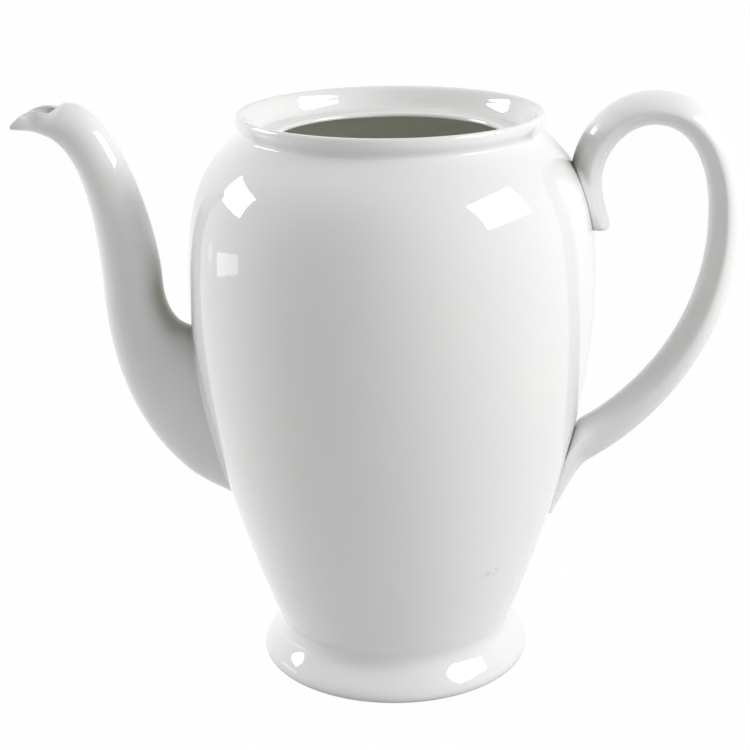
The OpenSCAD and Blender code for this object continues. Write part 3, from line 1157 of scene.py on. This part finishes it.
@dataclass
class Handle(Piece):
    """The strap handle: a kicked tail on the shoulder, a bow and a tail on the flank.

    Places along the strap run from 0 at the end of the upper tail to 5 at the end of the
    lower one: 1 is the arch over the shoulder, 2 the top, 3 the outermost point of the bow
    and 4 the lower root.
    """

    body: Body
    reach: float = 41.5
    top_z: float = 177.5
    top_x: float = 76.0
    far_z: float = 139.5
    strap_t: float = 9.7
    strap_w: float = 18.0
    arch_rise: float = 14.8
    arch_sunk: float = 3.3
    tail_end_z: float = 137.2
    tail_kick: float = 5.0
    tail_t: float = 3.6
    tail_w: float = 13.0
    root_low_z: float = 64.6
    root_high_z: float = 77.2
    root_out: float = 7.3
    root_in: float = 1.9
    root_w: float = 14.0
    drop_end_z: float = 46.3
    drop_w: float = 3.0
    drop_taper: float = 1.4
    nose: float = 0.12
    nose_size: float = 0.58
    ridge_power: float = 1.22
    ridge_tail: Pair = (0.42, 0.08)
    ridge_bow: float = 0.5
    ridge_root: Pair = (0.3, 0.15)
    seat: float = 0.74
    sunk: float = -0.25
    spread: float = 1.5
    spread_h: float = 2.6
    root_spread: float = 3.6
    root_spread_h: float = 8.0
    nose_steps: int = 40
    stretch_steps: int = 60
    columns: int = 80
    outer: Rail = field(init=False)
    inner: Rail = field(init=False)

    def __post_init__(self) -> None:
        """Works out the rails along the outer and the inner face of the strap."""
        r, end = self.body.radius, self.tail_end_z
        far = self.body.belly_r + self.reach
        arch_z = end + self.arch_rise
        arch_out = Vector((r(arch_z) - self.arch_sunk, arch_z))
        arch_in = Vector((r(arch_z) + self.seat + self.tail_t + 1.6, arch_z))
        top_out = Vector((self.top_x, self.top_z))
        top_in = Vector((self.top_x + 0.2, self.top_z - self.strap_t))
        bow_out = Vector((far, self.far_z))
        bow_in = Vector((far - self.strap_t, self.far_z + 0.4))
        foot_out = Vector((r(self.root_low_z) + self.root_out, self.root_low_z))
        foot_in = Vector((r(self.root_high_z) + self.root_in, self.root_high_z))
        drop_out = Vector((r(self.drop_end_z) + self.seat + 0.5, self.drop_end_z))
        drop_in = Vector((r(self.drop_end_z + 1) - 2, self.drop_end_z + 1))
        tail_out = Vector((r(end) - 2, end))
        tail_in = Vector((r(end) + self.tail_kick, end))
        # The two handles of each stretch stand beside the ends that they bend.
        self.outer = Rail((
            cubic(tail_out, tail_out + Vector((-1.4, 6)), arch_out - Vector((-0.8, 6)), arch_out),
            cubic(arch_out, arch_out + Vector((0, 14.5)), top_out - Vector((12.5, 0)), top_out),
            cubic(top_out, top_out + Vector((15, 0)), bow_out + Vector((0, 25)), bow_out),
            cubic(bow_out, bow_out - Vector((0, 28.2)), foot_out + 32 * polar(32.5), foot_out),
            cubic(foot_out, foot_out - 4.6 * polar(33), drop_out + 8.6 * polar(61), drop_out),
        ))
        self.inner = Rail((
            cubic(tail_in, tail_in + Vector((-1.3, 5)), arch_in - Vector((0, 6)), arch_in),
            cubic(arch_in, arch_in + Vector((0, 6.2)), top_in - Vector((8.8, 0)), top_in),
            cubic(top_in, top_in + Vector((9.9, 0)), bow_in + Vector((0, 17.6)), bow_in),
            cubic(bow_in, bow_in - Vector((0, 22.3)), foot_in + 30 * polar(34.6), foot_in),
            cubic(foot_in, foot_in - 6 * polar(38), drop_in + 10 * polar(78), drop_in),
        ))

    def half_width(self, t: float) -> float:
        """Half of the width of the strap.

        Args:
            t: Place along the strap.

        Returns:
            Half of the width there.
        """
        if t < 1:
            return self.tail_w / 2
        if t < 2:
            return (self.tail_w + (self.strap_w - self.tail_w) * ease(t - 1)) / 2
        if t < 3:
            return self.strap_w / 2
        if t < 4:
            return (self.strap_w + (self.root_w - self.strap_w) * ease(t - 3)) / 2
        return (self.root_w + (self.drop_w - self.root_w) * (t - 4) ** self.drop_taper) / 2

    def ridge_at(self, t: float) -> float:
        """Where the side ridge lies between the inner and the outer face.

        Args:
            t: Place along the strap.

        Returns:
            0 for the inner face and 1 for the outer one.
        """
        if t < 2:
            low, rise = self.ridge_tail
            return low + rise * ease(t - 1)
        first, second = self.ridge_root
        return self.ridge_bow - first * ease((t - 3.3) / 1.1) - second * ease(t - 4)

    def spread_at(self, t: float) -> Pair:
        """How the strap spreads where it meets the body, most of all at its lower root.

        Args:
            t: Place along the strap.

        Returns:
            The extra half width on the body, and the height over the body where it ends.
        """
        if t <= 3:
            return self.spread, self.spread_h
        wide = self.root_spread * ease((t - 3.2) / 1.1) * (1 - 0.5 * ease((t - 4.1) / 0.9))
        return wide, self.root_spread_h

    def ring(self, t: float, small: float = 1.0) -> Ring:
        """One section of the strap.

        Args:
            t: Place along the strap.
            small: Size of the section, 1 for the full one.

        Returns:
            The outline of the section.
        """
        inner, outer = self.inner.at(t), self.outer.at(t)
        middle = inner + self.ridge_at(t) * (outer - inner)
        wide, high = self.spread_at(t)
        points = []
        for j in range(self.columns):
            a = 2 * math.pi * j / self.columns
            bulge = math.copysign(abs(math.cos(a)) ** self.ridge_power, math.cos(a)) * small
            q = middle + abs(bulge) * ((inner if bulge > 0 else outer) - middle)
            y = self.half_width(t) * math.sin(a) * small
            height = max(0.0, q.x - self.body.skin_x(y, q.y, 0))
            y += wide * small * math.sin(a) * max(0.0, 1 - height / high) ** 2
            points.append(Vector((max(q.x, self.body.skin_x(y, q.y, self.sunk)), y, q.y)))
        return points

    def build(self, finish: bpy.types.Material) -> bpy.types.Object:
        """Sweeps the strap and dresses it.

        Args:
            finish: The glaze.

        Returns:
            The handle.
        """
        turns = [math.radians(a) for a in range(0, 90, 10)]
        nose, small = self.nose, self.nose_size
        start = [self.ring(nose * (1 - math.cos(a)), small + (1 - small) * math.sin(a)) for a in turns]
        places = [nose + (1 - nose) * i / self.nose_steps for i in range(self.nose_steps)]
        places += [1 + i / self.stretch_steps for i in range(4 * self.stretch_steps + 1)]
        along = [self.ring(t) for t in places]
        rings = rounded_end(start[0]) + start + along + rounded_end(along[-1])[::-1]
        piece = skin("pot_handle", rings, False)
        return self.dress(piece, finish, Slot.GLAZE, "handle")


@dataclass
class Pad(Piece):
    """Slip squeezed out under one end of the handle and smoothed down on the body.

    A point of 0 leaves the pad round, and a point of 1 draws its lower end out.
    """

    body: Body
    name: str
    node: str
    low: float
    high: float
    half_width: float
    point: float
    rise: float = 0.6
    feather: float = 0.03
    depth: float = 0.8
    shift: float = 0.2
    taper: float = 0.55
    hub: float = 0.01
    crease: float = 50.0
    rings: int = 14
    columns: int = 72

    def ring(self, share: float) -> Ring:
        """One outline of the pad.

        Args:
            share: Place of the outline, from 0 in the middle to 1 at the edge.

        Returns:
            The outline.
        """
        middle = self.low + (self.high - self.low) * (0.5 + self.shift * self.point)
        lift = self.rise * (1 - share**2) ** 2 - self.feather
        points = []
        for j in range(self.columns):
            a = 2 * math.pi * j / self.columns
            half = self.high - middle if math.cos(a) > 0 else middle - self.low
            z = middle + share * half * math.cos(a)
            thin = 1 - self.point * self.taper * max(0.0, -math.cos(a))
            y = share * self.half_width * thin * math.sin(a)
            points.append(Vector((self.body.skin_x(y, z, lift), y, z)))
        return points

    def build(self, finish: bpy.types.Material) -> bpy.types.Object:
        """Shapes the pad and dresses it.

        Args:
            finish: The glazed slip.

        Returns:
            The pad.
        """
        shares = [self.hub + (1 - self.hub) * i / self.rings for i in range(self.rings + 1)]
        down = Vector((self.depth, 0, 0))
        under = [[p - down for p in self.ring(share)] for share in (1, self.hub)]
        piece = skin(self.name, [self.ring(share) for share in shares] + under, True)
        return self.dress(piece, finish, Slot.SLIP, self.node)


# --- set -----------------------------------------------------------------------------------


def heading(azimuth: float, elevation: float) -> Vector:
    """Unit vector towards a place in the room.

    Args:
        azimuth: Degrees round the pot; 0 lies in front of it and 90 at its right.
        elevation: Degrees over the horizon.

    Returns:
        The direction.
    """
    a, e = math.radians(azimuth), math.radians(elevation)
    return Vector((math.sin(a) * math.cos(e), -math.cos(a) * math.cos(e), math.sin(e)))


@dataclass(frozen=True)
class Softbox:
    """A square lamp, placed by where it stands round the pot."""

    name: str
    azimuth: float
    elevation: float
    width: float
    height: float
    power: float
    distance: float = 1.0
    roll: float = 0.0

    def place(self, centre: Vector) -> None:
        """Hangs the lamp and turns it to the pot.

        Args:
            centre: The point that it faces.
        """
        way = heading(self.azimuth, self.elevation)
        lamp = bpy.data.lights.new(self.name, "AREA")
        lamp.shape = "RECTANGLE"
        lamp.size, lamp.size_y = self.width, self.height
        lamp.energy = self.power
        holder = bpy.data.objects.new(self.name, lamp)
        holder.location = centre + way * self.distance
        upright = way.to_track_quat("Z", "Y").to_matrix()
        aim = upright @ Matrix.Rotation(math.radians(self.roll), 3, "Z")
        holder.rotation_euler = aim.to_euler()
        bpy.context.scene.collection.objects.link(holder)


@dataclass(frozen=True)
class Wall:
    """A bright side of the room, strongest in its own direction and soft at its edges."""

    azimuth: float
    elevation: float
    strength: float
    focus: float = 4.0


@dataclass(frozen=True)
class Studio:
    """Pale table, white surroundings, lamps and the camera."""

    centre: tuple[float, float, float] = (0.0, 0.0, 0.14)
    table_side: float = 6.0
    air: float = 0.02
    camera_place: tuple[float, float, float] = (0.04892, -0.47798, 0.2546)
    turn: float = 0.1134
    pitch: float = 0.3298
    roll: float = -0.014
    lens: float = 79.55
    sensor: float = 36.0
    nearest: float = 0.01
    lamps: tuple[Softbox, ...] = (
        Softbox("right_box", 78, 31, 0.57, 0.43, 6.25),
        Softbox("left_box", -102.6, 21, 0.44, 0.3, 5.2),
        Softbox("window", -92, -6.5, 0.2, 0.057, 0.066, 0.6, 10),
        Softbox("window_side", -109, -7.0, 0.04, 0.05, 0.004, 0.6),
    )
    walls: tuple[Wall, ...] = (
        Wall(45, 8, 0.9),
        Wall(90, 8, 0.68),
        Wall(180, 8, 0.34),
        Wall(225, 8, 0.8),
        Wall(270, 8, 1.15),
        Wall(60, 50, 0.3),
        Wall(120, 50, 0.1),
        Wall(180, 50, 0.22),
    )

    def build(self) -> None:
        """Sets out the table, the surroundings, the lamps and the camera."""
        self.table()
        self.surroundings()
        for lamp in self.lamps:
            lamp.place(Vector(self.centre))
        self.camera()

    def table(self) -> None:
        """A wide plain table under the pot."""
        half = self.table_side / 2
        mesh = bpy.data.meshes.new("table")
        corners = [(-half, -half, 0), (half, -half, 0), (half, half, 0), (-half, half, 0)]
        mesh.from_pydata(corners, [], [(0, 1, 2, 3)])
        mesh.materials.append(TableTop().material())
        top = bpy.data.objects.new("table", mesh)
        bpy.context.scene.collection.objects.link(top)

    def surroundings(self) -> None:
        """White to the eye and in the glaze, with bright walls that light the pot softly."""
        world = bpy.data.worlds.new("room")
        tree = NodeTree(world, "ShaderNodeOutputWorld")
        way = tree.add("ShaderNodeVectorMath", operation="NORMALIZE")
        tree.join(tree.add("ShaderNodeTexCoord").outputs["Generated"], way.inputs[0])
        glow: object = self.air
        for wall in self.walls:
            facing = tree.add("ShaderNodeVectorMath", operation="DOT_PRODUCT")
            tree.join(way.outputs[0], facing.inputs[0])
            facing.inputs[1].default_value = heading(wall.azimuth, wall.elevation)
            ahead = tree.math("MAXIMUM", facing.outputs["Value"], 0.0)
            lobe = tree.math("POWER", ahead, wall.focus)
            glow = tree.math("ADD", glow, tree.math("MULTIPLY", lobe, wall.strength))
        lit, white = tree.add("ShaderNodeBackground"), tree.add("ShaderNodeBackground")
        tree.join(glow, lit.inputs["Strength"])
        white.inputs["Strength"].default_value = 1
        for background in (lit, white):
            background.inputs["Color"].default_value = (1, 1, 1, 1)
        tree.show(tree.seen(), lit, white)
        bpy.context.scene.world = world

    def camera(self) -> None:
        """The camera: a long lens a little above the pot, with a slight turn and roll."""
        data = bpy.data.cameras.new("camera")
        data.sensor_width = self.sensor
        data.lens = self.lens
        data.clip_start = self.nearest
        holder = bpy.data.objects.new("camera", data)
        upright = Matrix.Rotation(math.pi / 2 - self.pitch, 4, "X")
        aim = Matrix.Rotation(self.turn, 4, "Z") @ upright @ Matrix.Rotation(self.roll, 4, "Z")
        holder.matrix_world = Matrix.Translation(Vector(self.camera_place)) @ aim
        bpy.context.scene.collection.objects.link(holder)
        bpy.context.scene.camera = holder
        bpy.context.scene.view_settings.view_transform = "Standard"


def main() -> None:
    """Builds the pot and its surroundings in order."""
    logging.basicConfig(level=logging.INFO, format="%(name)s: %(message)s")
    body = Body()
    marks = (Scuff(41.6, 40.6, 0.0017), Scuff(45.9, 40.4, 0.0019))
    scuffs = tuple((mark.place(body), mark.radius) for mark in marks)
    # The corner shade settings of each glaze paint shade into its corners and creases.
    glaze = Glaze("white_glaze", WHITE, SHADE, 0.035, scuffs, corner_shade_band=(0.13, 0.3))
    inside = Glaze("inside_glaze", IVORY, IVORY_SHADE, 0.08)
    spout_glaze = Glaze(
        "spout_glaze", WHITE, SHADE, 0.06, coat=0.2, corner_shade_reach=0.034, corner_shade_band=(0.0, 0.125)
    )
    # Painted light: the handle's glaze is a lighter copy of the white, to brighten the handle.
    handle_glaze = Glaze(
        "handle_glaze", LIT_WHITE, LIT_WHITE_SHADE, 0.13, coat=0.02, corner_shade_band=(0.14, 0.2)
    )
    foot_glaze = Glaze("foot_glaze", WHITE, SHADE, 0.035, bare_under=0.0008, corner_shade_share=0.9)
    slip = Glaze("slip_under_glaze", WHITE, SHADE, 0.04, corner_shade_band=(0.09, 0.3)).material()
    outer = glaze.material()
    body.build(outer, inside.material())
    Rim(body).build(outer)
    FootRing(body).build(foot_glaze.material())
    spout = Spout(body)
    spout.build(spout_glaze.material())
    SpoutBead(spout).build(slip)
    handle = Handle(body)
    handle.build(handle_glaze.material())
    upper_end, lower_end = handle.tail_end_z - 0.6, handle.drop_end_z - 0.6
    Pad(body, "pot_tail_joint", "upper_slip", upper_end, 158.0, 6.1, 0).build(slip)
    Pad(body, "pot_drop_joint", "lower_slip", lower_end, 77.8, 6.6, 1).build(slip)
    Studio().build()


if __name__ == "__main__":
    main()
